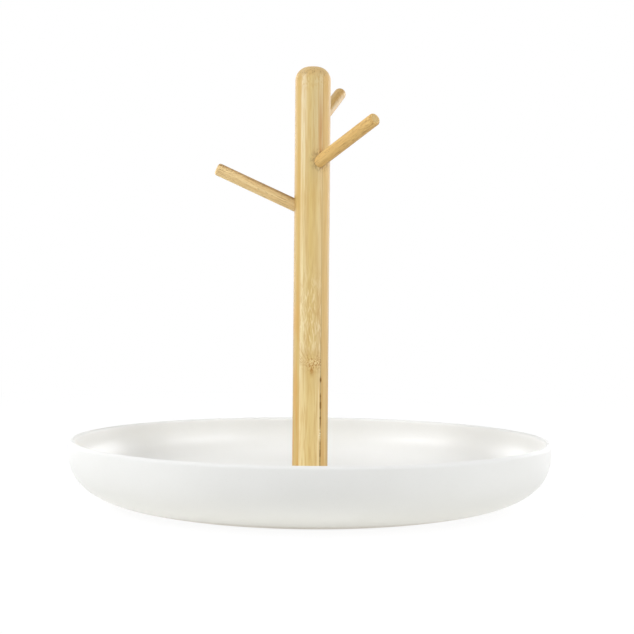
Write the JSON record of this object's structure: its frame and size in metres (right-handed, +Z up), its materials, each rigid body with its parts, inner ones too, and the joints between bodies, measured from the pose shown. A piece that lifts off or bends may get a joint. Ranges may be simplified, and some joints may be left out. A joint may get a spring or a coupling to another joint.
{
  "type": "jewelry tree",
  "caption": "Shallow round dish with an upright bamboo dowel and slanted peg branches, for rings, bracelets and chains.",
  "frame": {"origin": "on the table, under the middle of the dish and on the post's axis", "axes": "+Z up along the post, +Y away from the viewer of the picture, +X to that viewer's right"},
  "size_m": [0.22, 0.22, 0.2],
  "materials": {
    "dish_white": "warm white moulded composite, satin",
    "post_bamboo": "pale laminated bamboo, clear satin lacquer",
    "branch_bamboo": "honey bamboo dowel, clear satin lacquer",
    "screw_steel": "zinc plated steel",
    "pad_soft": "soft translucent white silicone, matt"
  },
  "bodies": {
    "root": {"dish": "dish_white", "post": "post_bamboo", "back_branch": "branch_bamboo", "right_branch": "branch_bamboo", "left_branch": "branch_bamboo", "post_screw": "screw_steel", "screw_washer": "screw_steel", "foot_pad_1": "pad_soft", "foot_pad_2": "pad_soft", "foot_pad_3": "pad_soft", "foot_pad_4": "pad_soft"}
  },
  "joints": []
}
